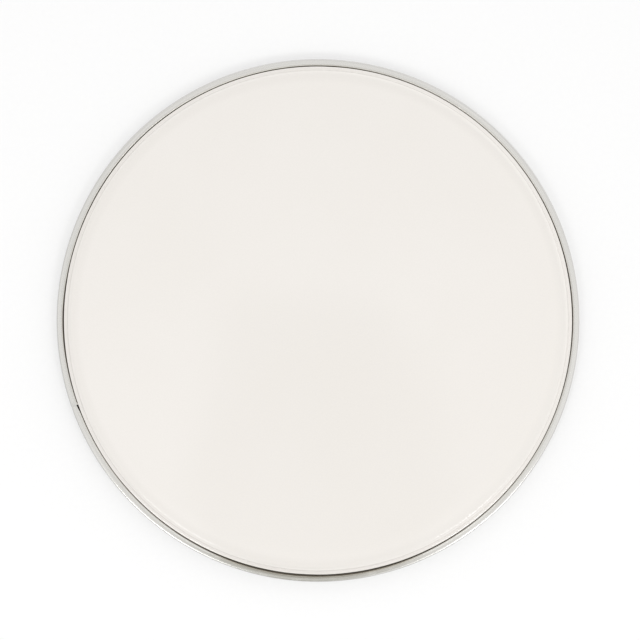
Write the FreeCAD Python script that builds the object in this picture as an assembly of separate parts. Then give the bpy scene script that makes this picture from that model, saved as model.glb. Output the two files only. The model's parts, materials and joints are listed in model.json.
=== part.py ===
# Drum head: a formed plastic film held in a rolled aluminium hoop.
# Millimetres, +Z up. The origin is the centre of the hoop's bottom face, and the playing film is on top.
import FreeCAD, Part
import math
import os

Vector = FreeCAD.Vector
AXIS_POINT = Vector(0, 0, 0)
AXIS = Vector(0, 0, 1)
FULL_TURN = 360.0

# Hoop, rolled from one flat strip into a channel whose top is folded back inside it
HOOP_INNER_RADIUS = 177.8
HOOP_HEIGHT = 10.0
STRIP_THICKNESS = 0.5
FLOOR_BEND_RADIUS = 0.6
SHOULDER_BEND_RADIUS = 0.15
LIP_BEND_RADIUS = 0.1
INNER_WALL_DROP = 0.55
SLIT_WIDTH = 0.65

# Film, drawn hot into a raised collar, with its edge folded round the lock ring
FILM_THICKNESS = 0.25
FILM_TO_WALL_GAP = 0.15
COLLAR_HEIGHT = 4.8
COLLAR_ANGLE = 72.0
COLLAR_CROWN_RADIUS = 3.0
COLLAR_FOOT_RADIUS = 2.3
COLLAR_SHELF = 0.4
LOCK_SLOT_COUNT = 12
LOCK_SLOT_WIDTH = 6.0
LOCK_SLOT_HEIGHT = 1.2
LOCK_SLOT_MARGIN = 0.2
FILM_EDGE_MARGIN = 1.2

# Lock ring, a square wire laid in the film's fold
LOCK_RING_SIDE = 2.3
LOCK_RING_CLEARANCE = 0.05
LOCK_RING_END_GAP = 1.5
LIP_TO_RING_GAP = 0.4

# Resin, poured round the fold and through its slots
RESIN_OVER_SLOTS = 0.4

# Butt joint of the hoop, with a splice strip behind it
SEAM_ANGLE = 199.3
SEAM_GAP = 0.1
SPLICE_LENGTH = 32.0
SPLICE_THICKNESS = 0.9
SPLICE_CLEARANCE = 0.05
SPLICE_TO_SHOULDER_GAP = 0.6
FILM_TO_SPLICE_GAP = 1.2
LIP_RELIEF_LENGTH = 3.3
LIP_TAB_LENGTH = 1.1
LIP_TAB_HEIGHT = 0.9
LIP_TAB_TO_FILM_GAP = 0.12

# Bends are drawn as flats that stay this close to their arcs, and very tight ones as sharp corners
BEND_CHORD_ERROR = 0.2

# Radii, stacked outwards from the hoop's inner face
HALF_STRIP = STRIP_THICKNESS / 2
HALF_FILM = FILM_THICKNESS / 2
INNER_WALL_OUTSIDE = HOOP_INNER_RADIUS + STRIP_THICKNESS
SKIRT_INSIDE = INNER_WALL_OUTSIDE + FILM_TO_WALL_GAP
SKIRT_OUTSIDE = SKIRT_INSIDE + FILM_THICKNESS
LOCK_RING_INSIDE = SKIRT_OUTSIDE + LOCK_RING_CLEARANCE
LOCK_RING_OUTSIDE = LOCK_RING_INSIDE + LOCK_RING_SIDE
EDGE_INSIDE = LOCK_RING_OUTSIDE + LOCK_RING_CLEARANCE
EDGE_OUTSIDE = EDGE_INSIDE + FILM_THICKNESS
SPLICE_INSIDE = EDGE_OUTSIDE + FILM_TO_SPLICE_GAP
SPLICE_OUTSIDE = SPLICE_INSIDE + SPLICE_THICKNESS
OUTER_WALL_INSIDE = SPLICE_OUTSIDE + SPLICE_CLEARANCE
HOOP_OUTER_RADIUS = OUTER_WALL_INSIDE + STRIP_THICKNESS
LIP_INSIDE = SKIRT_OUTSIDE + SLIT_WIDTH
LIP_OUTSIDE = LIP_INSIDE + STRIP_THICKNESS

# Heights, stacked upwards from the hoop's bottom
FLOOR_TOP = STRIP_THICKNESS
FOLD_BOTTOM = FLOOR_TOP + FLOOR_BEND_RADIUS
LOCK_RING_BOTTOM = FOLD_BOTTOM + FILM_THICKNESS + LOCK_RING_CLEARANCE
LOCK_RING_TOP = LOCK_RING_BOTTOM + LOCK_RING_SIDE
LIP_END = LOCK_RING_TOP + LIP_TO_RING_GAP
LOCK_SLOT_BOTTOM = LOCK_RING_TOP + LOCK_SLOT_MARGIN
LOCK_SLOT_TOP = LOCK_SLOT_BOTTOM + LOCK_SLOT_HEIGHT
FILM_EDGE_TOP = LOCK_SLOT_TOP + FILM_EDGE_MARGIN
RESIN_LEVEL = LOCK_SLOT_TOP + RESIN_OVER_SLOTS
SPLICE_TOP = HOOP_HEIGHT - STRIP_THICKNESS - SHOULDER_BEND_RADIUS - SPLICE_TO_SHOULDER_GAP
LIP_TAB_TOP = HOOP_HEIGHT - STRIP_THICKNESS - LIP_BEND_RADIUS
INNER_WALL_TOP = HOOP_HEIGHT - INNER_WALL_DROP
SHELF_MIDDLE = INNER_WALL_TOP + FILM_TO_WALL_GAP + HALF_FILM
PLAYING_MIDDLE = SHELF_MIDDLE + COLLAR_HEIGHT


def unit(start, end):
    """Direction from one profile point to the next."""
    length = math.dist(start, end)
    return ((end[0] - start[0]) / length, (end[1] - start[1]) / length)


def stepped(point, direction, along, left):
    """A profile point moved along a direction, and to the left of it."""
    return (
        point[0] + direction[0] * along - direction[1] * left,
        point[1] + direction[1] * along + direction[0] * left,
    )


def turn_between(before, after):
    """Signed angle between two directions, positive to the left."""
    cross = before[0] * after[1] - before[1] * after[0]
    dot = before[0] * after[0] + before[1] * after[1]
    return math.atan2(cross, dot)


def bend_points(corner, before, turn, radius):
    """Points along the arc that rounds a corner, as few as the chord error allows."""
    if radius / math.cos(turn / 2) - radius < BEND_CHORD_ERROR:
        return [corner]
    reach = radius * math.tan(abs(turn) / 2)
    flat_turn = 2 * math.acos(1 - BEND_CHORD_ERROR / radius)
    flats = math.ceil(abs(turn) / flat_turn)
    points = []
    for number in range(flats + 1):
        angle = turn * number / flats
        along = radius * math.sin(abs(angle)) - reach
        left = math.copysign(radius, turn) * (1 - math.cos(angle))
        points.append(stepped(corner, before, along, left))
    return points


def strip_side(corners, radii, offset):
    """One side of a bent strip: its centreline moved to the left by an offset."""
    directions = [unit(start, end) for start, end in zip(corners, corners[1:])]
    side = [stepped(corners[0], directions[0], 0, offset)]
    for corner, radius, before, after in zip(corners[1:-1], radii, directions, directions[1:]):
        turn = turn_between(before, after)
        moved = stepped(corner, before, -offset * math.tan(turn / 2), offset)
        side += bend_points(moved, before, turn, radius - math.copysign(1, turn) * offset)
    side.append(stepped(corners[-1], directions[-1], 0, offset))
    return side


def section(corners):
    """Flat face in the XZ plane from its corners, each a radius and a height."""
    points = [Vector(radius, 0, height) for radius, height in corners]
    return Part.Face(Part.makePolygon(points + points[:1]))


def strip_section(corners, radii, thickness):
    """Section of a bent strip of even thickness, given its centreline corners and bend radii."""
    left = strip_side(corners, radii, thickness / 2)
    right = strip_side(corners, radii, -thickness / 2)
    return section(left + right[::-1])


def box_section(inside, outside, bottom, top):
    """Rectangle between two radii and two heights."""
    return section([(inside, bottom), (outside, bottom), (outside, top), (inside, top)])


def turned(profile, start_angle=0.0, sweep=FULL_TURN):
    """A section revolved about the head's axis, starting at an angle."""
    solid = profile.revolve(AXIS_POINT, AXIS, sweep)
    return solid.rotate(AXIS_POINT, AXIS, start_angle)


def angle_of(length, radius):
    """Angle in degrees that a length takes up along a circle."""
    return math.degrees(length / radius)


def hoop_section():
    inner = HOOP_INNER_RADIUS + HALF_STRIP
    outer = HOOP_OUTER_RADIUS - HALF_STRIP
    lip = LIP_INSIDE + HALF_STRIP
    top = HOOP_HEIGHT - HALF_STRIP
    corners = [
        (inner, INNER_WALL_TOP),
        (inner, HALF_STRIP),
        (outer, HALF_STRIP),
        (outer, top),
        (lip, top),
        (lip, LIP_END),
    ]
    inside_radii = [FLOOR_BEND_RADIUS, FLOOR_BEND_RADIUS, SHOULDER_BEND_RADIUS, LIP_BEND_RADIUS]
    radii = [radius + HALF_STRIP for radius in inside_radii]
    return strip_section(corners, radii, STRIP_THICKNESS)


def film_section():
    slope = math.radians(COLLAR_ANGLE)
    skirt = SKIRT_INSIDE + HALF_FILM
    edge = EDGE_INSIDE + HALF_FILM
    fold = FOLD_BOTTOM + HALF_FILM
    foot_corner = skirt - COLLAR_SHELF - COLLAR_FOOT_RADIUS * math.tan(slope / 2)
    crown_corner = foot_corner - COLLAR_HEIGHT / math.tan(slope)
    corners = [
        (0, PLAYING_MIDDLE),
        (crown_corner, PLAYING_MIDDLE),
        (foot_corner, SHELF_MIDDLE),
        (skirt, SHELF_MIDDLE),
        (skirt, fold),
        (edge, fold),
        (edge, FILM_EDGE_TOP),
    ]
    radii = [COLLAR_CROWN_RADIUS, COLLAR_FOOT_RADIUS, 0, 0, 0]
    return strip_section(corners, radii, FILM_THICKNESS)


def lock_slots():
    """Punches for the slots through the film's upturned edge."""
    punch = Part.makeBox(
        2 * FILM_THICKNESS,
        LOCK_SLOT_WIDTH,
        LOCK_SLOT_HEIGHT,
        Vector(EDGE_INSIDE - HALF_FILM, -LOCK_SLOT_WIDTH / 2, LOCK_SLOT_BOTTOM),
    )
    pitch = FULL_TURN / LOCK_SLOT_COUNT
    return [punch.rotated(AXIS_POINT, AXIS, number * pitch) for number in range(LOCK_SLOT_COUNT)]


def make_batter_film():
    return turned(film_section()).cut(lock_slots())


def make_hoop_channel():
    """The rolled ring, open by the seam gap, with one lip end cut back and the other pushed inwards."""
    gap = angle_of(SEAM_GAP, HOOP_OUTER_RADIUS)
    first_end = SEAM_ANGLE + gap / 2
    last_end = SEAM_ANGLE - gap / 2
    ring = turned(hoop_section(), first_end, FULL_TURN - gap)
    relief = turned(
        box_section(SKIRT_OUTSIDE, LIP_OUTSIDE, LOCK_RING_TOP, HOOP_HEIGHT + STRIP_THICKNESS),
        first_end,
        angle_of(LIP_RELIEF_LENGTH, LIP_INSIDE),
    )
    tab_inside = SKIRT_OUTSIDE + LIP_TAB_TO_FILM_GAP
    tab_sweep = angle_of(LIP_TAB_LENGTH, LIP_INSIDE)
    tab = turned(
        box_section(tab_inside, LIP_INSIDE + HALF_STRIP, LIP_TAB_TOP - LIP_TAB_HEIGHT, LIP_TAB_TOP),
        last_end - tab_sweep,
        tab_sweep,
    )
    return ring.cut(relief).fuse(tab).removeSplitter()


def make_lock_ring():
    """Square wire whose two ends meet opposite the hoop's seam."""
    gap = angle_of(LOCK_RING_END_GAP, LOCK_RING_INSIDE)
    opposite = SEAM_ANGLE + FULL_TURN / 2
    profile = box_section(LOCK_RING_INSIDE, LOCK_RING_OUTSIDE, LOCK_RING_BOTTOM, LOCK_RING_TOP)
    return turned(profile, opposite + gap / 2, FULL_TURN - gap)


def splice_block(outside):
    """Curved block that bridges the hoop's two ends, from the splice's inner face to a radius."""
    sweep = angle_of(SPLICE_LENGTH, SPLICE_OUTSIDE)
    profile = box_section(SPLICE_INSIDE, outside, FOLD_BOTTOM, SPLICE_TOP)
    return turned(profile, SEAM_ANGLE - sweep / 2, sweep)


def make_seam_splice():
    return splice_block(SPLICE_OUTSIDE)


def make_resin_bed(film):
    """Resin on the channel's floor under the film's fold, up the outer wall and into the fold's slots."""
    pour = section(
        [
            (INNER_WALL_OUTSIDE, 0),
            (OUTER_WALL_INSIDE, 0),
            (OUTER_WALL_INSIDE, RESIN_LEVEL),
            (EDGE_INSIDE, RESIN_LEVEL),
            (EDGE_INSIDE, FOLD_BOTTOM),
            (INNER_WALL_OUTSIDE, FOLD_BOTTOM),
        ]
    )
    cuts = pour.cut(hoop_section()).Faces
    inside_channel = max(cuts, key=lambda face: face.Area)
    return turned(inside_channel).cut([film, splice_block(OUTER_WALL_INSIDE)])


def main():
    film = make_batter_film()
    pieces = {
        "batter_film": film,
        "hoop_channel": make_hoop_channel(),
        "lock_ring": make_lock_ring(),
        "resin_bed": make_resin_bed(film),
        "seam_splice": make_seam_splice(),
    }
    os.makedirs("parts", exist_ok=True)
    for name, shape in pieces.items():
        shape.exportStep(f"parts/{name}.step")
        print(name, "solids", len(shape.Solids), "valid", shape.isValid(), "mm3", round(shape.Volume, 2))


main()
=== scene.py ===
"""Looks of a drum head: a glossy white film with a formed collar, in a rolled aluminium hoop."""

import json
import math

import bmesh
import bpy
from mathutils import Matrix, Vector, noise


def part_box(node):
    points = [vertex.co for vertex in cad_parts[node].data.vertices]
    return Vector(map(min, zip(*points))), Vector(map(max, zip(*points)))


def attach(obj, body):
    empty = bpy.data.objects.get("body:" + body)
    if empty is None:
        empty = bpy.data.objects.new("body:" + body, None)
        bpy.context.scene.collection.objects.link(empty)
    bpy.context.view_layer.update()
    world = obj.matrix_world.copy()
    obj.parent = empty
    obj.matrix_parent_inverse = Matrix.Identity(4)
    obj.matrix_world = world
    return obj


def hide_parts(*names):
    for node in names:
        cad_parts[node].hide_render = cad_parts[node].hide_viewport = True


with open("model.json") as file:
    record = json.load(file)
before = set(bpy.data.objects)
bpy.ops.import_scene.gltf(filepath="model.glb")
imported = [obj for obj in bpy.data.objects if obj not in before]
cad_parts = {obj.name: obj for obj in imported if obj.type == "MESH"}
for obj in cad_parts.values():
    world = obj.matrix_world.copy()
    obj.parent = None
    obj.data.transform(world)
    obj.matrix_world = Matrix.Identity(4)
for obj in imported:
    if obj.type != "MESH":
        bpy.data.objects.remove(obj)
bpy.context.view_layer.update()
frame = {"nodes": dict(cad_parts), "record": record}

MM = 0.001
FULL_TURN = math.tau
UP = Vector((0, 0, 1))
ORIGIN = Vector((0, 0, 0))
MERGE_DISTANCE = 0.001 * MM
WHITE = (1, 1, 1, 1)

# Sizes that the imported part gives
mounts = {mount["name"]: mount for mount in frame["record"]["mounts"]}
HOOP_INSIDE = mounts["shell_bore"]["dims"]["r_mm"] * MM
HOOP_OUTSIDE = mounts["counterhoop_fit"]["dims"]["r_mm"] * MM
HOOP_TOP = mounts["counterhoop_bearing"]["pos_m"][2]
FILM_UNDERSIDE = mounts["bearing_edge_seat"]["pos_m"][2]
FILM_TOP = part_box("batter_film")[1].z
RING_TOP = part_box("lock_ring")[1].z

# Film section: top face of one formed sheet
FILM_THICKNESS = FILM_TOP - FILM_UNDERSIDE
COLLAR_HEIGHT = 4.8 * MM
COLLAR_ANGLE = math.radians(72)
COLLAR_CROWN_RADIUS = 3.1 * MM
COLLAR_FOOT_RADIUS = 2.2 * MM
RIM_RADIUS = 0.35 * MM
COLLAR_SHELF = 0.5 * MM
SKIRT_STANDOFF = 1.0 * MM
SKIRT_OUTSIDE = HOOP_INSIDE + SKIRT_STANDOFF
FOLD_TOP = 1.35 * MM
FOLD_STANDOFF = 3.55 * MM
FOLD_OUTSIDE = HOOP_INSIDE + FOLD_STANDOFF
FILM_EDGE_TOP = 6.3 * MM
FILM_BEND_SEGMENTS = 10
FILM_STEPS = 384
FILM_LONGEST_EDGE = 16 * MM
FILM_SHARP_ANGLE = math.radians(50)

# Hoop section: outer faces of one bent strip, whose flat top is its crown
STRIP_THICKNESS = 0.5 * MM
FLOOR_BEND_RADIUS = 1.1 * MM
SHOULDER_BEND_RADIUS = 1.0 * MM
LIP_BEND_RADIUS = 0.55 * MM
INNER_WALL_DROP = 0.55 * MM
INNER_WALL_TOP = HOOP_TOP - INNER_WALL_DROP
SLIT_WIDTH = 0.48 * MM
LIP_INSIDE = SKIRT_OUTSIDE + SLIT_WIDTH
LIP_BEND_END = LIP_INSIDE + LIP_BEND_RADIUS
LIP_END = 4.1 * MM
CROWN_END = HOOP_OUTSIDE - SHOULDER_BEND_RADIUS
HOOP_BEND_SEGMENTS = 8
HOOP_STEPS = 480
HOOP_LONGEST_EDGE = 2 * MM
CROWN_LONGEST_EDGE = 0.4 * MM
HOOP_SHARP_ANGLE = math.radians(40)

# Seam of the hoop
SEAM_ANGLE = math.radians(199.3)
SEAM_GAP = 0.08 * MM
SEAM_ARC = math.radians(5)
SEAM_STEPS = 60
RELIEF_LENGTH = 6.4 * MM
RELIEF_DEPTH = 1.05 * MM
FLARE_LENGTH = 2.6 * MM
FLARE_DEPTH = 0.42 * MM
FLARE_LIFT = 0.2 * MM
END_STEP = 0.25 * MM
END_STEP_LENGTH = 4 * MM

# Small unevenness of the real pieces, with angles in degrees from +X
COLLAR_RIPPLE = 0.05 * MM
COLLAR_LUMPS = 70
COLLAR_LAYER = 1
FILM_SAG = 0.12 * MM
FILM_SAG_WAVE = 140 * MM
CROWN_DROP = 0.03 * MM
CROWN_TILT = 0.014 * MM
CROWN_LUMPS = 60
CROWN_LAYER = 2
LIP_SPRING = 0.15 * MM
SPRING_MIDDLE = 272
SPRING_SPREAD = 50

# Places where the slit is wide or narrow: middle, spread, and millimetres that the lip stands further out
SLIT_PLACES = (
    (269, 26, 0.96),
    (181, 10, 0.56),
    (4, 22, 0.28),
    (50, 24, -0.04),
    (90, 14, 0.12),
    (130, 10, 0.1),
    (147, 10, 0.14),
    (215, 12, -0.12),
    (330, 20, -0.12),
)

# Film's finish, with a slightly greyer ring on the collar's crown that is painted shade
FILM_WHITE = (0.88, 0.847, 0.807, 1)
FILM_CLOUD = (0.872, 0.838, 0.795, 1)
FILM_SPECK = (0.985, 0.985, 0.985, 1)
FILM_SMOOTH = 0.055
FILM_ROUGH = 0.085
FILM_IOR = 1.58
COLLAR_PAINTED_SHADE = (0.848, 0.815, 0.774, 1)
COLLAR_SHADE_START = 166 * MM
COLLAR_SHADE_FULL = 172 * MM
COLLAR_SHADE_FADE = 173.5 * MM
COLLAR_SHADE_END = 175.5 * MM

# Aluminium's finish: dark and light of its rolling lines, and the roughness of both
HOOP_DARK = (0.66, 0.649, 0.618, 1)
HOOP_LIGHT = (0.9, 0.887, 0.852, 1)
HOOP_SMOOTH = 0.1
HOOP_ROUGH = 0.17
SPLICE_DARK = (0.62, 0.62, 0.62, 1)
SPLICE_LIGHT = (0.74, 0.74, 0.74, 1)
SPLICE_SMOOTH = 0.34
SPLICE_ROUGH = 0.46
LINES_LOW = 0.25
LINES_HIGH = 0.75
MARKS_ROUGHNESS = 0.06

# Outer wall and bend of the hoop, painted darker as painted shade and made rougher
OUTER_BAND_REACH = 1.1 * MM
OUTER_BAND_FULL_REACH = 0.275 * MM
OUTER_BAND_SHARE = 0.8
OUTER_BAND_ROUGHNESS = 0.35
OUTER_WALL_PAINTED_SHADE = (0.58, 0.572, 0.557, 1)

# Painted shade on the metal: in the slit, thinly on the lip's bend, and further over the near side's lip;
# the slit and bend are also made rougher
SLIT_SHADE_START = 0.2 * MM
SLIT_SHADE_FULL = 1.2 * MM
SLIT_AND_BEND_ROUGHNESS = 0.8
SLIT_PAINTED_SHADE = (0.42, 0.39, 0.33, 1)
LIP_BEND_SHADE_REACH = 0.9 * MM
LIP_BEND_SHADE_SHARE = 0.22
NEAR_LIP_SHADE_REACH = 3 * MM
NEAR_LIP_SHADE_START = -160 * MM
NEAR_LIP_SHADE_FULL = -172 * MM

# Steel's finish, with near-black painted shade on the lock ring's top
STEEL_DARK = (0.5, 0.5, 0.51, 1)
STEEL_LIGHT = (0.6, 0.6, 0.61, 1)
STEEL_DULL = (0.42, 0.41, 0.4, 1)
STEEL_SMOOTH = 0.3
STEEL_ROUGH = 0.5
RING_TOP_PAINTED_SHADE = (0.03, 0.024, 0.017, 1)
RING_TOP_SHADE_REACH = 0.3 * MM

# Resin's finish
RESIN_BROWN = (0.03, 0.02, 0.012, 1)
RESIN_CLOUD = (0.016, 0.011, 0.007, 1)
RESIN_SMOOTH = 0.25
RESIN_ROUGH = 0.4

# Photograph's framing in its pixels, and the camera that repeats it
IMAGE_PIXELS = 640
CENTRE_PIXEL = (318.0, 320.5)
HOOP_RADIUS_PIXELS = 261.5
CAMERA_HEIGHT = 1.6
CAMERA_REACH = 20
SENSOR_WIDTH = 36.0

# Floor, which glows a little so that it comes out white
FLOOR_REACH = 4
FLOOR_DROP = 0.1 * MM
FLOOR_SHARP_ANGLE = math.radians(30)
FLOOR_PALE = (0.62, 0.62, 0.62, 1)
FLOOR_CLOUD = (0.61, 0.61, 0.61, 1)
FLOOR_ROUGHNESS = 0.9
FLOOR_GLOSS = 0.1
FLOOR_GLOW = 0.37

# Studio light: a dome and two round lamps on the near side, each with a glow round it
SKY_LEVEL = 0.791
RIGHT_GAIN = 0.09
FAR_GAIN = 0.2
ZENITH_SHARE = 1.0
SIDES_SHARE = 1.04
HORIZON_EXTRA = 0.5
HORIZON_TOP = 0.5
LEAST_HEIGHT = 0.01
LAMP_AZIMUTHS = {"left_lamp": math.radians(235), "right_lamp": math.radians(309)}
LAMP_ELEVATION = math.radians(58)
LAMP_DISTANCE = 1.5
LAMP_SIZE = 0.36
LAMP_RADIANCE = 6.2
GLOW_ANGLE = math.radians(45)
GLOW_EXTRA = 0.2

# Dark card overhead on the near side, in slopes from straight up: x over z and y over z
CARD_COLOUR = (0.42, 0.41, 0.365, 1)
CARD_FAR_EDGE = 0.01
CARD_NEAR_FADE = -2.5
CARD_NEAR_EDGE = -7
CARD_MIDDLE = -0.005
CARD_LEAN = -0.12
CARD_HALF_WIDTH = 0.037
CARD_SPREAD = 0.35
CARD_RIGHT_END = 0.066
CARD_SOFTNESS = 0.006

# Paler strip across the card, in the same slopes
PALE_START = -0.118
PALE_FULL = -0.145
PALE_FADE = -0.25
PALE_END = -0.4
PALE_SHARE = 0.35

# Faint dark band beside the card, as angles from straight up, with its far edge as a slope
BAND_START = 0.115
BAND_END = 0.13
BAND_SOFTNESS = 0.012
BAND_FAR_EDGE = -0.06
BAND_SHARE = 0.3


def clamped(value):
    """A value kept from 0 to 1."""
    return min(max(value, 0.0), 1.0)


def eased(value):
    """A share from 0 to 1 with soft ends."""
    share = clamped(value)
    return share * share * (3 - 2 * share)


def bell(angle, middle, spread):
    """A share that is 1 at a middle, in degrees from +X, and fades to both sides of it."""
    away = (math.degrees(angle) - middle + 180) % 360 - 180
    return math.exp(-((away / spread) ** 2))


def polar(co):
    """Angle and radius of a point about the head's axis."""
    return math.atan2(co.y, co.x) % FULL_TURN, math.hypot(co.x, co.y)


def ring_point(angle, radius, height=0.0):
    """The point at an angle and radius about the head's axis."""
    return Vector((math.cos(angle) * radius, math.sin(angle) * radius, height))


def moved_out(co, distance):
    """A point moved away from the head's axis."""
    angle, radius = polar(co)
    return ring_point(angle, radius + distance, co.z)


def ring_noise(angle, lumps, layer):
    """Smooth uneven value from -1 to 1 round the ring, with about this many lumps in a turn."""
    reach = lumps / FULL_TURN
    return noise.noise(Vector((math.cos(angle) * reach, math.sin(angle) * reach, layer)))


def bent_line(bm, corners, radii, segments):
    """A line of edges in the XZ plane through corners, each inner corner rounded to its radius."""
    verts = [bm.verts.new((radius, 0, height)) for radius, height in corners]
    for start, end in zip(verts, verts[1:]):
        bm.edges.new((start, end))
    for vert, before, after, radius in zip(verts[1:-1], corners, corners[2:], radii):
        into = Vector((vert.co.x - before[0], vert.co.z - before[1]))
        away = Vector((after[0] - vert.co.x, after[1] - vert.co.z))
        bmesh.ops.bevel(
            bm,
            geom=[vert],
            offset=radius * math.tan(into.angle(away) / 2),
            offset_type="OFFSET",
            segments=segments,
            profile=0.5,
            affect="VERTICES",
            material=-1,
        )


def split_runs(bm, edges, longest):
    """Divide some runs of a line so that no edge is longer than a length."""
    for edge in edges:
        cuts = math.ceil(edge.calc_length() / longest) - 1
        if cuts > 0:
            bmesh.ops.subdivide_edges(bm, edges=[edge], cuts=cuts)


def spin_edges(bm, edges, angle, steps, merge=False):
    """Spin a line of edges about the head's axis and give back the last line."""
    verts = dict.fromkeys(vert for edge in edges for vert in edge.verts)
    result = bmesh.ops.spin(
        bm,
        geom=list(verts) + list(edges),
        cent=ORIGIN,
        axis=UP,
        angle=angle,
        steps=steps,
        use_merge=merge,
    )
    return [item for item in result["geom_last"] if isinstance(item, bmesh.types.BMEdge)]


def face_outwards(bm):
    """Close the sheet's seams and turn its faces so that the top one looks up."""
    bmesh.ops.remove_doubles(bm, verts=bm.verts, dist=MERGE_DISTANCE)
    bmesh.ops.recalc_face_normals(bm, faces=bm.faces)
    top_face = max(bm.faces, key=lambda face: face.calc_center_median().z)
    if top_face.normal.z < 0:
        bmesh.ops.reverse_faces(bm, faces=bm.faces)


def piece_from(bm, name, sharp_angle):
    """An object from a finished mesh, shaded smooth but for its sharp edges."""
    mesh = bpy.data.meshes.new(name)
    bm.to_mesh(mesh)
    bm.free()
    for polygon in mesh.polygons:
        polygon.use_smooth = True
    mesh.set_sharp_from_angle(angle=sharp_angle)
    piece = bpy.data.objects.new(name, mesh)
    bpy.context.scene.collection.objects.link(piece)
    return piece


def make_film():
    """One sheet: flat playing area, collar, skirt in the slit and the fold under the lip."""
    bm = bmesh.new()
    shelf = FILM_TOP - COLLAR_HEIGHT
    foot_corner = SKIRT_OUTSIDE - COLLAR_SHELF - COLLAR_FOOT_RADIUS * math.tan(COLLAR_ANGLE / 2)
    crown_corner = foot_corner - COLLAR_HEIGHT / math.tan(COLLAR_ANGLE)
    flat_end = crown_corner - COLLAR_CROWN_RADIUS * math.tan(COLLAR_ANGLE / 2)
    corners = [
        (0, FILM_TOP),
        (crown_corner, FILM_TOP),
        (foot_corner, shelf),
        (SKIRT_OUTSIDE, shelf),
        (SKIRT_OUTSIDE, FOLD_TOP),
        (FOLD_OUTSIDE, FOLD_TOP),
        (FOLD_OUTSIDE, FILM_EDGE_TOP),
    ]
    radii = [COLLAR_CROWN_RADIUS, COLLAR_FOOT_RADIUS, RIM_RADIUS, RIM_RADIUS, RIM_RADIUS]
    bent_line(bm, corners, radii, FILM_BEND_SEGMENTS)
    split_runs(bm, list(bm.edges), FILM_LONGEST_EDGE)
    spin_edges(bm, list(bm.edges), FULL_TURN, FILM_STEPS, merge=True)
    face_outwards(bm)
    for vert in bm.verts:
        angle, radius = polar(vert.co)
        down = clamped((FILM_TOP - vert.co.z) / COLLAR_HEIGHT)
        inwards = clamped((flat_end - radius) / FILM_SAG_WAVE)
        ripple = COLLAR_RIPPLE * down * ring_noise(angle, COLLAR_LUMPS, COLLAR_LAYER)
        vert.co = moved_out(vert.co, ripple)
        vert.co.z += FILM_SAG * inwards * noise.noise(vert.co / FILM_SAG_WAVE)
    bmesh.ops.solidify(bm, geom=bm.faces, thickness=FILM_THICKNESS)
    return piece_from(bm, "drum_film", FILM_SHARP_ANGLE)


def make_hoop():
    """One strip, rolled to a channel with its top folded in, butted at the seam."""
    bm = bmesh.new()
    corners = [
        (HOOP_INSIDE, INNER_WALL_TOP),
        (HOOP_INSIDE, 0),
        (HOOP_OUTSIDE, 0),
        (HOOP_OUTSIDE, HOOP_TOP),
        (LIP_INSIDE, HOOP_TOP),
        (LIP_INSIDE, LIP_END),
    ]
    radii = [FLOOR_BEND_RADIUS, FLOOR_BEND_RADIUS, SHOULDER_BEND_RADIUS, LIP_BEND_RADIUS]
    bent_line(bm, corners, radii, HOOP_BEND_SEGMENTS)
    crown_low = HOOP_TOP - MERGE_DISTANCE
    crown = [edge for edge in bm.edges if min(vert.co.z for vert in edge.verts) > crown_low]
    split_runs(bm, crown, CROWN_LONGEST_EDGE)
    split_runs(bm, list(bm.edges), HOOP_LONGEST_EDGE)
    gap = SEAM_GAP / HOOP_OUTSIDE
    to_seam = Matrix.Rotation(SEAM_ANGLE + gap / 2, 3, "Z")
    bmesh.ops.rotate(bm, verts=bm.verts, cent=ORIGIN, matrix=to_seam)
    line = spin_edges(bm, list(bm.edges), SEAM_ARC, SEAM_STEPS)
    line = spin_edges(bm, line, FULL_TURN - gap - 2 * SEAM_ARC, HOOP_STEPS)
    spin_edges(bm, line, SEAM_ARC, SEAM_STEPS)
    face_outwards(bm)
    cut_lip_relief(bm)
    bend_hoop(bm)
    bmesh.ops.solidify(bm, geom=bm.faces, thickness=STRIP_THICKNESS)
    return piece_from(bm, "rolled_hoop", HOOP_SHARP_ANGLE)


def cut_lip_relief(bm):
    """Cut a wedge off the lip beside the seam, where the first end of the strip starts."""
    relief = RELIEF_LENGTH / LIP_INSIDE
    deep_end = ring_point(SEAM_ANGLE, LIP_INSIDE + RELIEF_DEPTH)
    shallow_end = ring_point(SEAM_ANGLE + relief, LIP_INSIDE)
    lip = []
    for face in bm.faces:
        centre = face.calc_center_median()
        angle, radius = polar(centre)
        in_lip = HOOP_INSIDE + STRIP_THICKNESS < radius < LIP_INSIDE + 2 * RELIEF_DEPTH
        if in_lip and centre.z > LIP_END and (angle - SEAM_ANGLE) % FULL_TURN < relief:
            lip.append(face)
    edges = dict.fromkeys(edge for face in lip for edge in face.edges)
    verts = dict.fromkeys(vert for face in lip for vert in face.verts)
    bmesh.ops.bisect_plane(
        bm,
        geom=lip + list(edges) + list(verts),
        plane_co=deep_end,
        plane_no=UP.cross(shallow_end - deep_end),
        clear_outer=True,
    )


def slit_widening(angle):
    """How much further out the lip stands at an angle, in metres."""
    return MM * sum(amount * bell(angle, middle, spread) for middle, spread, amount in SLIT_PLACES)


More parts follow.
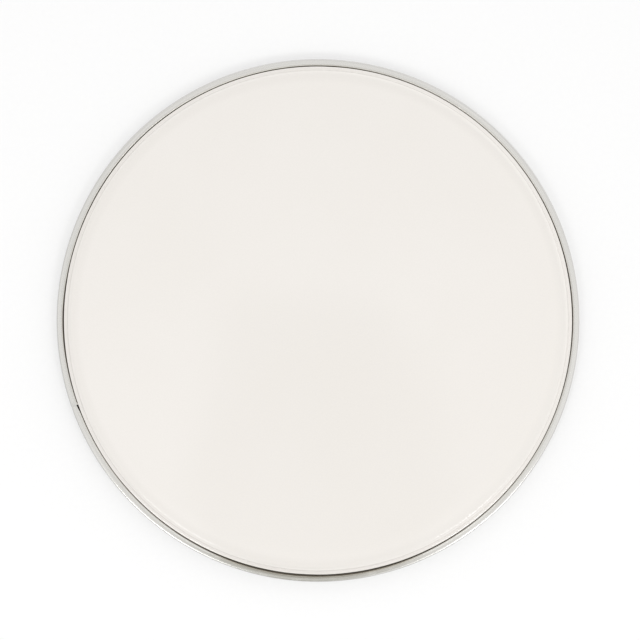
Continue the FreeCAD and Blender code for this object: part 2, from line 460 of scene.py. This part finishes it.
def bend_hoop(bm):
    """Uneven lip and crown of the real strip, and the flared lip end at the seam."""
    flare = FLARE_LENGTH / LIP_INSIDE
    step = END_STEP_LENGTH / HOOP_OUTSIDE
    crown_middle = (LIP_BEND_END + CROWN_END) / 2
    crown_half = crown_middle - LIP_BEND_END
    for vert in bm.verts:
        angle, radius = polar(vert.co)
        if radius < HOOP_INSIDE + STRIP_THICKNESS or vert.co.z < LIP_END - STRIP_THICKNESS:
            continue
        lip_share = clamped((CROWN_END - radius) / (CROWN_END - LIP_BEND_END))
        before_seam = (SEAM_ANGLE - angle) % FULL_TURN
        after_seam = (angle - SEAM_ANGLE) % FULL_TURN
        flare_share = eased(1 - before_seam / flare)
        step_share = clamped(1 - after_seam / step) ** 2
        crown_share = eased((vert.co.z - LIP_END) / (HOOP_TOP - LIP_END))
        off_middle = (radius - crown_middle) / crown_half
        tilt = CROWN_TILT * ring_noise(angle, CROWN_LUMPS, CROWN_LAYER) * off_middle
        drop = CROWN_DROP * off_middle ** 2
        spring = LIP_SPRING * bell(angle, SPRING_MIDDLE, SPRING_SPREAD) * lip_share ** 4
        lip_move = lip_share * (slit_widening(angle) - FLARE_DEPTH * flare_share)
        vert.co = moved_out(vert.co, (lip_move - END_STEP * step_share) * crown_share)
        vert.co.z += (tilt - drop + spring + FLARE_LIFT * flare_share) * crown_share


def add_node(tree, kind, inputs=None, **settings):
    """A node with its settings, and a value or a link for each input that is named or numbered."""
    made = tree.nodes.new(kind)
    for name, value in settings.items():
        setattr(made, name, value)
    for name, value in (inputs or {}).items():
        socket = made.inputs[name]
        if isinstance(value, bpy.types.NodeSocket):
            tree.links.new(value, socket)
        else:
            socket.default_value = value
    return made


def add_math(tree, operation, first, *others):
    """Values joined in their order by a math operation, or one value that it changes."""
    result = first
    for other in others or (0.0,):
        result = add_node(tree, "ShaderNodeMath", {0: result, 1: other}, operation=operation).outputs[0]
    return result


def add_ramp(tree, value, from_low, from_high, to_low, to_high):
    """A value eased from one range to another."""
    inputs = {
        "Value": value,
        "From Min": from_low,
        "From Max": from_high,
        "To Min": to_low,
        "To Max": to_high,
    }
    return add_node(tree, "ShaderNodeMapRange", inputs, interpolation_type="SMOOTHSTEP").outputs["Result"]


def add_mix(tree, share, first, second, blend="MIX"):
    """A mix of two colours, which are inputs 6 and 7 and output 2 of the node."""
    inputs = {0: share, 6: first, 7: second}
    return add_node(tree, "ShaderNodeMix", inputs, data_type="RGBA", blend_type=blend).outputs[2]


def add_bump(tree, shader, height, distance, strength):
    """Fine relief on a shader's normal."""
    bump = add_node(tree, "ShaderNodeBump", {"Height": height, "Distance": distance, "Strength": strength})
    tree.links.new(bump.outputs[0], shader["Normal"])


def new_group(name, inputs, outputs):
    """A shader node group with named number inputs, a Position input and named outputs."""
    group = bpy.data.node_groups.new(name, "ShaderNodeTree")
    group.interface.new_socket("Position", in_out="INPUT", socket_type="NodeSocketVector")
    for socket_name in inputs:
        group.interface.new_socket(socket_name, in_out="INPUT", socket_type="NodeSocketFloat")
    for socket_name in outputs:
        group.interface.new_socket(socket_name, in_out="OUTPUT", socket_type="NodeSocketFloat")
    entry = group.nodes.new("NodeGroupInput")
    leave = group.nodes.new("NodeGroupOutput")
    return group, entry.outputs, leave.inputs


def add_group(tree, group, place, **values):
    """A placed node group with its own values or links; underscores in a name stand for spaces."""
    inputs = {name.replace("_", " "): value for name, value in values.items()}
    return add_node(tree, "ShaderNodeGroup", {"Position": place, **inputs}, node_tree=group).outputs


def make_rolling_lines_group():
    """Fine lines that run round the head and waver slowly, as a rolled or drawn strip has."""
    group, entry, leave = new_group(
        "rolling_lines", ("Lines per metre", "Waver per metre"), ("Lines", "Radius", "Height")
    )
    parts = add_node(group, "ShaderNodeSeparateXYZ", {0: entry["Position"]}).outputs
    x_square = add_math(group, "POWER", parts["X"], 2)
    y_square = add_math(group, "POWER", parts["Y"], 2)
    radius = add_math(group, "SQRT", add_math(group, "ADD", x_square, y_square))
    across = add_math(group, "MULTIPLY", radius, entry["Lines per metre"])
    height = add_math(group, "MULTIPLY", parts["Z"], entry["Lines per metre"])
    waver_x = add_math(group, "MULTIPLY", parts["X"], entry["Waver per metre"])
    waver_y = add_math(group, "MULTIPLY", parts["Y"], entry["Waver per metre"])
    place = add_node(group, "ShaderNodeCombineXYZ", {"X": across, "Y": height, "Z": waver_x}).outputs[0]
    lines = add_node(
        group,
        "ShaderNodeTexNoise",
        {"Vector": place, "W": waver_y, "Scale": 1, "Detail": 2, "Roughness": 0.6},
        noise_dimensions="4D",
    )
    group.links.new(lines.outputs["Fac"], leave["Lines"])
    group.links.new(radius, leave["Radius"])
    group.links.new(parts["Z"], leave["Height"])
    return group


def make_cloud_group():
    """Soft patches, for haze on the film, handling marks on metal and clouds in resin."""
    group, entry, leave = new_group("soft_clouds", ("Patches per metre", "Low", "High"), ("Cloud",))
    cloud = add_node(
        group,
        "ShaderNodeTexNoise",
        {"Vector": entry["Position"], "Scale": entry["Patches per metre"], "Detail": 3, "Roughness": 0.55},
    )
    share = add_ramp(group, cloud.outputs["Fac"], entry["Low"], entry["High"], 0, 1)
    group.links.new(share, leave["Cloud"])
    return group


def make_strip_shade_masks_group():
    """Masks for painted shade and roughness: along the outer wall, in the slit and on the lip's bend, and
    over the near lip.
    """
    group, entry, leave = new_group("strip_shade_masks", ("Radius", "Height"), ("Outer band", "Slit shade", "Painted shade"))
    radius = entry["Radius"]
    height = entry["Height"]
    place_y = add_node(group, "ShaderNodeSeparateXYZ", {0: entry["Position"]}).outputs["Y"]
    # Outer wall and bend: the darker colour here is painted shade; this mask also sets roughness
    outer_band = add_ramp(group, radius, HOOP_OUTSIDE - OUTER_BAND_REACH, HOOP_OUTSIDE - OUTER_BAND_FULL_REACH, 0, OUTER_BAND_SHARE)
    inside_crown = add_ramp(group, radius, LIP_BEND_END, CROWN_END, 1, 0)
    past_wall = add_ramp(group, radius, HOOP_INSIDE + STRIP_THICKNESS, SKIRT_OUTSIDE, 0, 1)
    past_floor = add_ramp(group, height, LIP_END - STRIP_THICKNESS, LIP_END, 0, 1)
    on_lip = add_math(group, "MULTIPLY", inside_crown, past_wall, past_floor)
    # Slit and lip's bend: the darker colour here is painted shade, and these places are also made rougher
    deep = add_ramp(group, height, HOOP_TOP - SLIT_SHADE_FULL, HOOP_TOP - SLIT_SHADE_START, 1, 0)
    haze = add_ramp(group, radius, LIP_BEND_END, LIP_BEND_END + LIP_BEND_SHADE_REACH, LIP_BEND_SHADE_SHARE, 0)
    slit_shade = add_math(group, "MULTIPLY", add_math(group, "MAXIMUM", deep, haze), on_lip)
    # Near side's lip: more painted shade
    near_side = add_ramp(group, place_y, NEAR_LIP_SHADE_FULL, NEAR_LIP_SHADE_START, 1, 0)
    near_lip_reach = add_ramp(group, radius, LIP_BEND_END, LIP_BEND_END + NEAR_LIP_SHADE_REACH, 1, 0)
    near_lip_shade = add_math(group, "MULTIPLY", near_side, near_lip_reach, on_lip)
    group.links.new(outer_band, leave["Outer band"])
    group.links.new(slit_shade, leave["Slit shade"])
    group.links.new(add_math(group, "MAXIMUM", slit_shade, near_lip_shade), leave["Painted shade"])
    return group


def new_material(name):
    """A material, its tree, its shader's inputs and the place on the piece that patterns follow."""
    material = bpy.data.materials.new(name)
    material.use_nodes = True
    tree = material.node_tree
    place = tree.nodes.new("ShaderNodeTexCoord").outputs["Object"]
    return material, tree, tree.nodes["Principled BSDF"].inputs, place


def make_film_material():
    """White polyester film: soft gloss, a slight cloudiness and the faint grain of a cast sheet."""
    material, tree, shader, place = new_material("white_film")
    haze = add_group(tree, clouds, place, Patches_per_metre=9, Low=0.35, High=0.7)["Cloud"]
    speck = add_group(tree, clouds, place, Patches_per_metre=900, Low=0.3, High=0.7)["Cloud"]
    radius = add_group(tree, rolling_lines, place)["Radius"]
    # Greyer ring on the collar's crown: painted shade
    collar_shade_start = add_ramp(tree, radius, COLLAR_SHADE_START, COLLAR_SHADE_FULL, 0, 1)
    collar_shade_end = add_ramp(tree, radius, COLLAR_SHADE_FADE, COLLAR_SHADE_END, 1, 0)
    collar_shade = add_math(tree, "MULTIPLY", collar_shade_start, collar_shade_end)
    cloudy = add_mix(tree, haze, FILM_WHITE, FILM_CLOUD)
    collar_shaded = add_mix(tree, collar_shade, cloudy, COLLAR_PAINTED_SHADE)
    specks = add_mix(tree, speck, WHITE, FILM_SPECK)
    tree.links.new(add_mix(tree, 1, collar_shaded, specks, blend="MULTIPLY"), shader["Base Color"])
    shader["IOR"].default_value = FILM_IOR
    tree.links.new(add_ramp(tree, haze, 0, 1, FILM_SMOOTH, FILM_ROUGH), shader["Roughness"])
    add_bump(tree, shader, speck, distance=0.01 * MM, strength=0.2)
    return material


def make_aluminium_material(name, dark, light, smooth, rough):
    """Bare rolled aluminium: lines along the strip, patches dulled by handling, and painted shade on the
    outer wall, in the slit and on the near lip.
    """
    material, tree, shader, place = new_material(name)
    rolling = add_group(tree, rolling_lines, place, Lines_per_metre=1200, Waver_per_metre=9)
    shade_masks = add_group(tree, strip_shade_masks, place, Radius=rolling["Radius"], Height=rolling["Height"])
    marks = add_group(tree, clouds, place, Patches_per_metre=160, Low=0.45, High=0.75)["Cloud"]
    clean = add_mix(tree, rolling["Lines"], dark, light)
    # Darker outer wall, slit and near lip: painted shade
    outer_shaded = add_mix(tree, shade_masks["Outer band"], clean, OUTER_WALL_PAINTED_SHADE)
    tree.links.new(add_mix(tree, shade_masks["Painted shade"], outer_shaded, SLIT_PAINTED_SHADE), shader["Base Color"])
    shader["Metallic"].default_value = 1
    rolled = add_ramp(tree, rolling["Lines"], LINES_LOW, LINES_HIGH, smooth, rough)
    marked = add_ramp(tree, marks, 0, 1, 0, MARKS_ROUGHNESS)
    outer_band_dulling = add_math(tree, "MULTIPLY", shade_masks["Outer band"], OUTER_BAND_ROUGHNESS)
    slit_dulling = add_math(tree, "MULTIPLY", shade_masks["Slit shade"], SLIT_AND_BEND_ROUGHNESS)
    tree.links.new(add_math(tree, "ADD", rolled, marked, outer_band_dulling, slit_dulling), shader["Roughness"])
    add_bump(tree, shader, rolling["Lines"], distance=0.02 * MM, strength=0.35)
    return material


def make_steel_material():
    """Drawn steel wire: dark draw lines and a thin dull skin in patches."""
    material, tree, shader, place = new_material("drawn_steel")
    drawing = add_group(tree, rolling_lines, place, Lines_per_metre=4000, Waver_per_metre=20)
    marks = add_group(tree, clouds, place, Patches_per_metre=220, Low=0.4, High=0.7)["Cloud"]
    bright = add_mix(tree, drawing["Lines"], STEEL_DARK, STEEL_LIGHT)
    dulled = add_mix(tree, marks, bright, STEEL_DULL)
    # Near-black top of the lock ring: painted shade
    ring_top_shade = add_ramp(tree, drawing["Height"], RING_TOP - RING_TOP_SHADE_REACH, RING_TOP, 0, 1)
    tree.links.new(add_mix(tree, ring_top_shade, dulled, RING_TOP_PAINTED_SHADE), shader["Base Color"])
    shader["Metallic"].default_value = 1
    tree.links.new(add_ramp(tree, marks, 0, 1, STEEL_SMOOTH, STEEL_ROUGH), shader["Roughness"])
    add_bump(tree, shader, drawing["Lines"], distance=0.02 * MM, strength=0.3)
    return material


def make_resin_material():
    """Cast resin: dark brown, cloudy and glossy."""
    material, tree, shader, place = new_material("cast_resin")
    cloud = add_group(tree, clouds, place, Patches_per_metre=120, Low=0.3, High=0.7)["Cloud"]
    grain = add_group(tree, clouds, place, Patches_per_metre=1500, Low=0.3, High=0.7)["Cloud"]
    tree.links.new(add_mix(tree, cloud, RESIN_BROWN, RESIN_CLOUD), shader["Base Color"])
    tree.links.new(add_ramp(tree, cloud, 0, 1, RESIN_SMOOTH, RESIN_ROUGH), shader["Roughness"])
    add_bump(tree, shader, grain, distance=0.02 * MM, strength=0.3)
    return material


def make_floor_material():
    """Pale paper that can be seen only from above."""
    material, tree, shader, place = new_material("pale_floor")
    paper = add_group(tree, clouds, place, Patches_per_metre=300, Low=0.2, High=0.8)["Cloud"]
    tree.links.new(add_mix(tree, paper, FLOOR_PALE, FLOOR_CLOUD), shader["Base Color"])
    shader["Roughness"].default_value = FLOOR_ROUGHNESS
    shader["Specular IOR Level"].default_value = FLOOR_GLOSS
    shader["Emission Color"].default_value = WHITE
    shader["Emission Strength"].default_value = FLOOR_GLOW
    below = tree.nodes.new("ShaderNodeNewGeometry").outputs["Backfacing"]
    paper_shader = tree.nodes["Principled BSDF"].outputs["BSDF"]
    clear_shader = tree.nodes.new("ShaderNodeBsdfTransparent").outputs["BSDF"]
    one_sided = add_node(tree, "ShaderNodeMixShader", {0: below, 1: paper_shader, 2: clear_shader})
    tree.links.new(one_sided.outputs["Shader"], tree.nodes["Material Output"].inputs["Surface"])
    return material


def dress(piece, material):
    """Give a piece one material."""
    piece.data.materials.clear()
    piece.data.materials.append(material)


def make_floor():
    """A wide floor just under the head."""
    bm = bmesh.new()
    lowered = Matrix.Translation(-FLOOR_DROP * UP)
    bmesh.ops.create_grid(bm, x_segments=1, y_segments=1, size=FLOOR_REACH, matrix=lowered)
    floor = piece_from(bm, "pale_floor", FLOOR_SHARP_ANGLE)
    dress(floor, make_floor_material())


def make_camera():
    """Camera straight above the head, with the photograph's framing."""
    metres_per_pixel = HOOP_OUTSIDE / HOOP_RADIUS_PIXELS
    middle = IMAGE_PIXELS / 2
    data = bpy.data.cameras.new("overhead_camera")
    data.sensor_width = SENSOR_WIDTH
    data.lens = SENSOR_WIDTH * (CAMERA_HEIGHT - HOOP_TOP) / (IMAGE_PIXELS * metres_per_pixel)
    data.clip_end = CAMERA_REACH
    camera = bpy.data.objects.new("overhead_camera", data)
    camera.location = (
        (middle - CENTRE_PIXEL[0]) * metres_per_pixel,
        (CENTRE_PIXEL[1] - middle) * metres_per_pixel,
        CAMERA_HEIGHT,
    )
    bpy.context.scene.collection.objects.link(camera)
    bpy.context.scene.camera = camera


def lamp_way(azimuth):
    """Direction from the head to a lamp."""
    return ring_point(azimuth, math.cos(LAMP_ELEVATION), math.sin(LAMP_ELEVATION))


def make_lamp(name, azimuth):
    """A round lamp that faces the head from an azimuth."""
    data = bpy.data.lights.new(name, "AREA")
    data.shape = "DISK"
    data.size = LAMP_SIZE
    area = math.pi * (LAMP_SIZE / 2) ** 2
    data.energy = LAMP_RADIANCE * math.pi * area
    lamp = bpy.data.objects.new(name, data)
    place = LAMP_DISTANCE * lamp_way(azimuth)
    lamp.matrix_world = Matrix.Translation(place) @ place.to_track_quat("Z", "Y").to_matrix().to_4x4()
    bpy.context.scene.collection.objects.link(lamp)


def add_lamp_glow(tree, way, azimuth):
    """Light of the wall round a lamp, fading out with the angle from it."""
    inputs = {0: way, 1: lamp_way(azimuth)}
    toward = add_node(tree, "ShaderNodeVectorMath", inputs, operation="DOT_PRODUCT").outputs["Value"]
    return add_ramp(tree, toward, math.cos(GLOW_ANGLE), 1, 0, GLOW_EXTRA)


def add_sky_level(tree, way, parts):
    """Brightness of the dome: more at the horizon, round the lamps, on the right and on the far side."""
    dome = add_ramp(tree, parts["Z"], HORIZON_TOP, 1, SIDES_SHARE, ZENITH_SHARE)
    horizon = add_ramp(tree, parts["Z"], 0, HORIZON_TOP, HORIZON_EXTRA, 0)
    glows = [add_lamp_glow(tree, way, azimuth) for azimuth in LAMP_AZIMUTHS.values()]
    height_level = add_math(tree, "ADD", dome, horizon, *glows)
    right = add_math(tree, "MULTIPLY", parts["X"], RIGHT_GAIN)
    far = add_math(tree, "MULTIPLY", parts["Y"], FAR_GAIN)
    side_level = add_math(tree, "ADD", 1, right, far)
    return add_math(tree, "MULTIPLY", height_level, side_level, SKY_LEVEL)


def add_card(tree, right_slope, far_slope):
    """Share of the dark card, which leans and widens towards the near side and has a paler strip."""
    far_edge = add_ramp(tree, far_slope, CARD_FAR_EDGE - CARD_SOFTNESS, CARD_FAR_EDGE + CARD_SOFTNESS, 1, 0)
    near_edge = add_ramp(tree, far_slope, CARD_NEAR_EDGE, CARD_NEAR_FADE, 0, 1)
    pale_start = add_ramp(tree, far_slope, PALE_FULL, PALE_START, PALE_SHARE, 0)
    pale_end = add_ramp(tree, far_slope, PALE_END, PALE_FADE, 0, 1)
    strength = add_math(tree, "SUBTRACT", 1, add_math(tree, "MULTIPLY", pale_start, pale_end))
    widening = add_math(tree, "MULTIPLY", far_slope, CARD_SPREAD)
    half_width = add_math(tree, "SUBTRACT", CARD_HALF_WIDTH, widening)
    middle = add_math(tree, "ADD", CARD_MIDDLE, add_math(tree, "MULTIPLY", far_slope, CARD_LEAN))
    off_middle = add_math(tree, "ABSOLUTE", add_math(tree, "SUBTRACT", right_slope, middle))
    past_side = add_math(tree, "SUBTRACT", off_middle, half_width)
    past_right = add_math(tree, "SUBTRACT", right_slope, CARD_RIGHT_END)
    past_edge = add_math(tree, "MAXIMUM", past_side, past_right)
    side_edge = add_ramp(tree, past_edge, -CARD_SOFTNESS, CARD_SOFTNESS, 1, 0)
    return add_math(tree, "MULTIPLY", far_edge, near_edge, side_edge, strength)


def add_band(tree, from_zenith, far_slope):
    """Share of the faint dark band beside the card."""
    start = add_ramp(tree, from_zenith, BAND_START - BAND_SOFTNESS, BAND_START, 0, BAND_SHARE)
    end = add_ramp(tree, from_zenith, BAND_END, BAND_END + BAND_SOFTNESS, 1, 0)
    near_part = add_ramp(tree, far_slope, BAND_FAR_EDGE - BAND_SOFTNESS, BAND_FAR_EDGE, 1, 0)
    return add_math(tree, "MULTIPLY", start, end, near_part)


def make_sky():
    """A pale dome with a dark card overhead on the near side and a faint band beside it."""
    world = bpy.data.worlds.new("studio_sky")
    world.use_nodes = True
    tree = world.node_tree
    way = tree.nodes.new("ShaderNodeTexCoord").outputs["Generated"]
    parts = add_node(tree, "ShaderNodeSeparateXYZ", {0: way}).outputs
    height = add_math(tree, "MAXIMUM", parts["Z"], LEAST_HEIGHT)
    right_slope = add_math(tree, "DIVIDE", parts["X"], height)
    far_slope = add_math(tree, "DIVIDE", parts["Y"], height)
    from_zenith = add_math(tree, "ARCCOSINE", parts["Z"])
    card = add_card(tree, right_slope, far_slope)
    band = add_band(tree, from_zenith, far_slope)
    shade = add_math(tree, "MAXIMUM", card, band)
    background = tree.nodes["Background"].inputs
    tree.links.new(add_mix(tree, shade, WHITE, CARD_COLOUR), background["Color"])
    tree.links.new(add_sky_level(tree, way, parts), background["Strength"])
    bpy.context.scene.world = world


rolling_lines = make_rolling_lines_group()
clouds = make_cloud_group()
strip_shade_masks = make_strip_shade_masks_group()

film = make_film()
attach(film, "root")
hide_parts("batter_film")
dress(film, make_film_material())

hoop = make_hoop()
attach(hoop, "root")
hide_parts("hoop_channel")
hoop_metal = make_aluminium_material("rolled_aluminium", HOOP_DARK, HOOP_LIGHT, HOOP_SMOOTH, HOOP_ROUGH)
dress(hoop, hoop_metal)

dress(frame["nodes"]["lock_ring"], make_steel_material())
dress(frame["nodes"]["resin_bed"], make_resin_material())
splice_metal = make_aluminium_material(
    "mill_aluminium", SPLICE_DARK, SPLICE_LIGHT, SPLICE_SMOOTH, SPLICE_ROUGH
)
dress(frame["nodes"]["seam_splice"], splice_metal)

make_floor()
make_sky()
for lamp_name, lamp_azimuth in LAMP_AZIMUTHS.items():
    make_lamp(lamp_name, lamp_azimuth)
make_camera()
bpy.context.scene.view_settings.view_transform = "Standard"
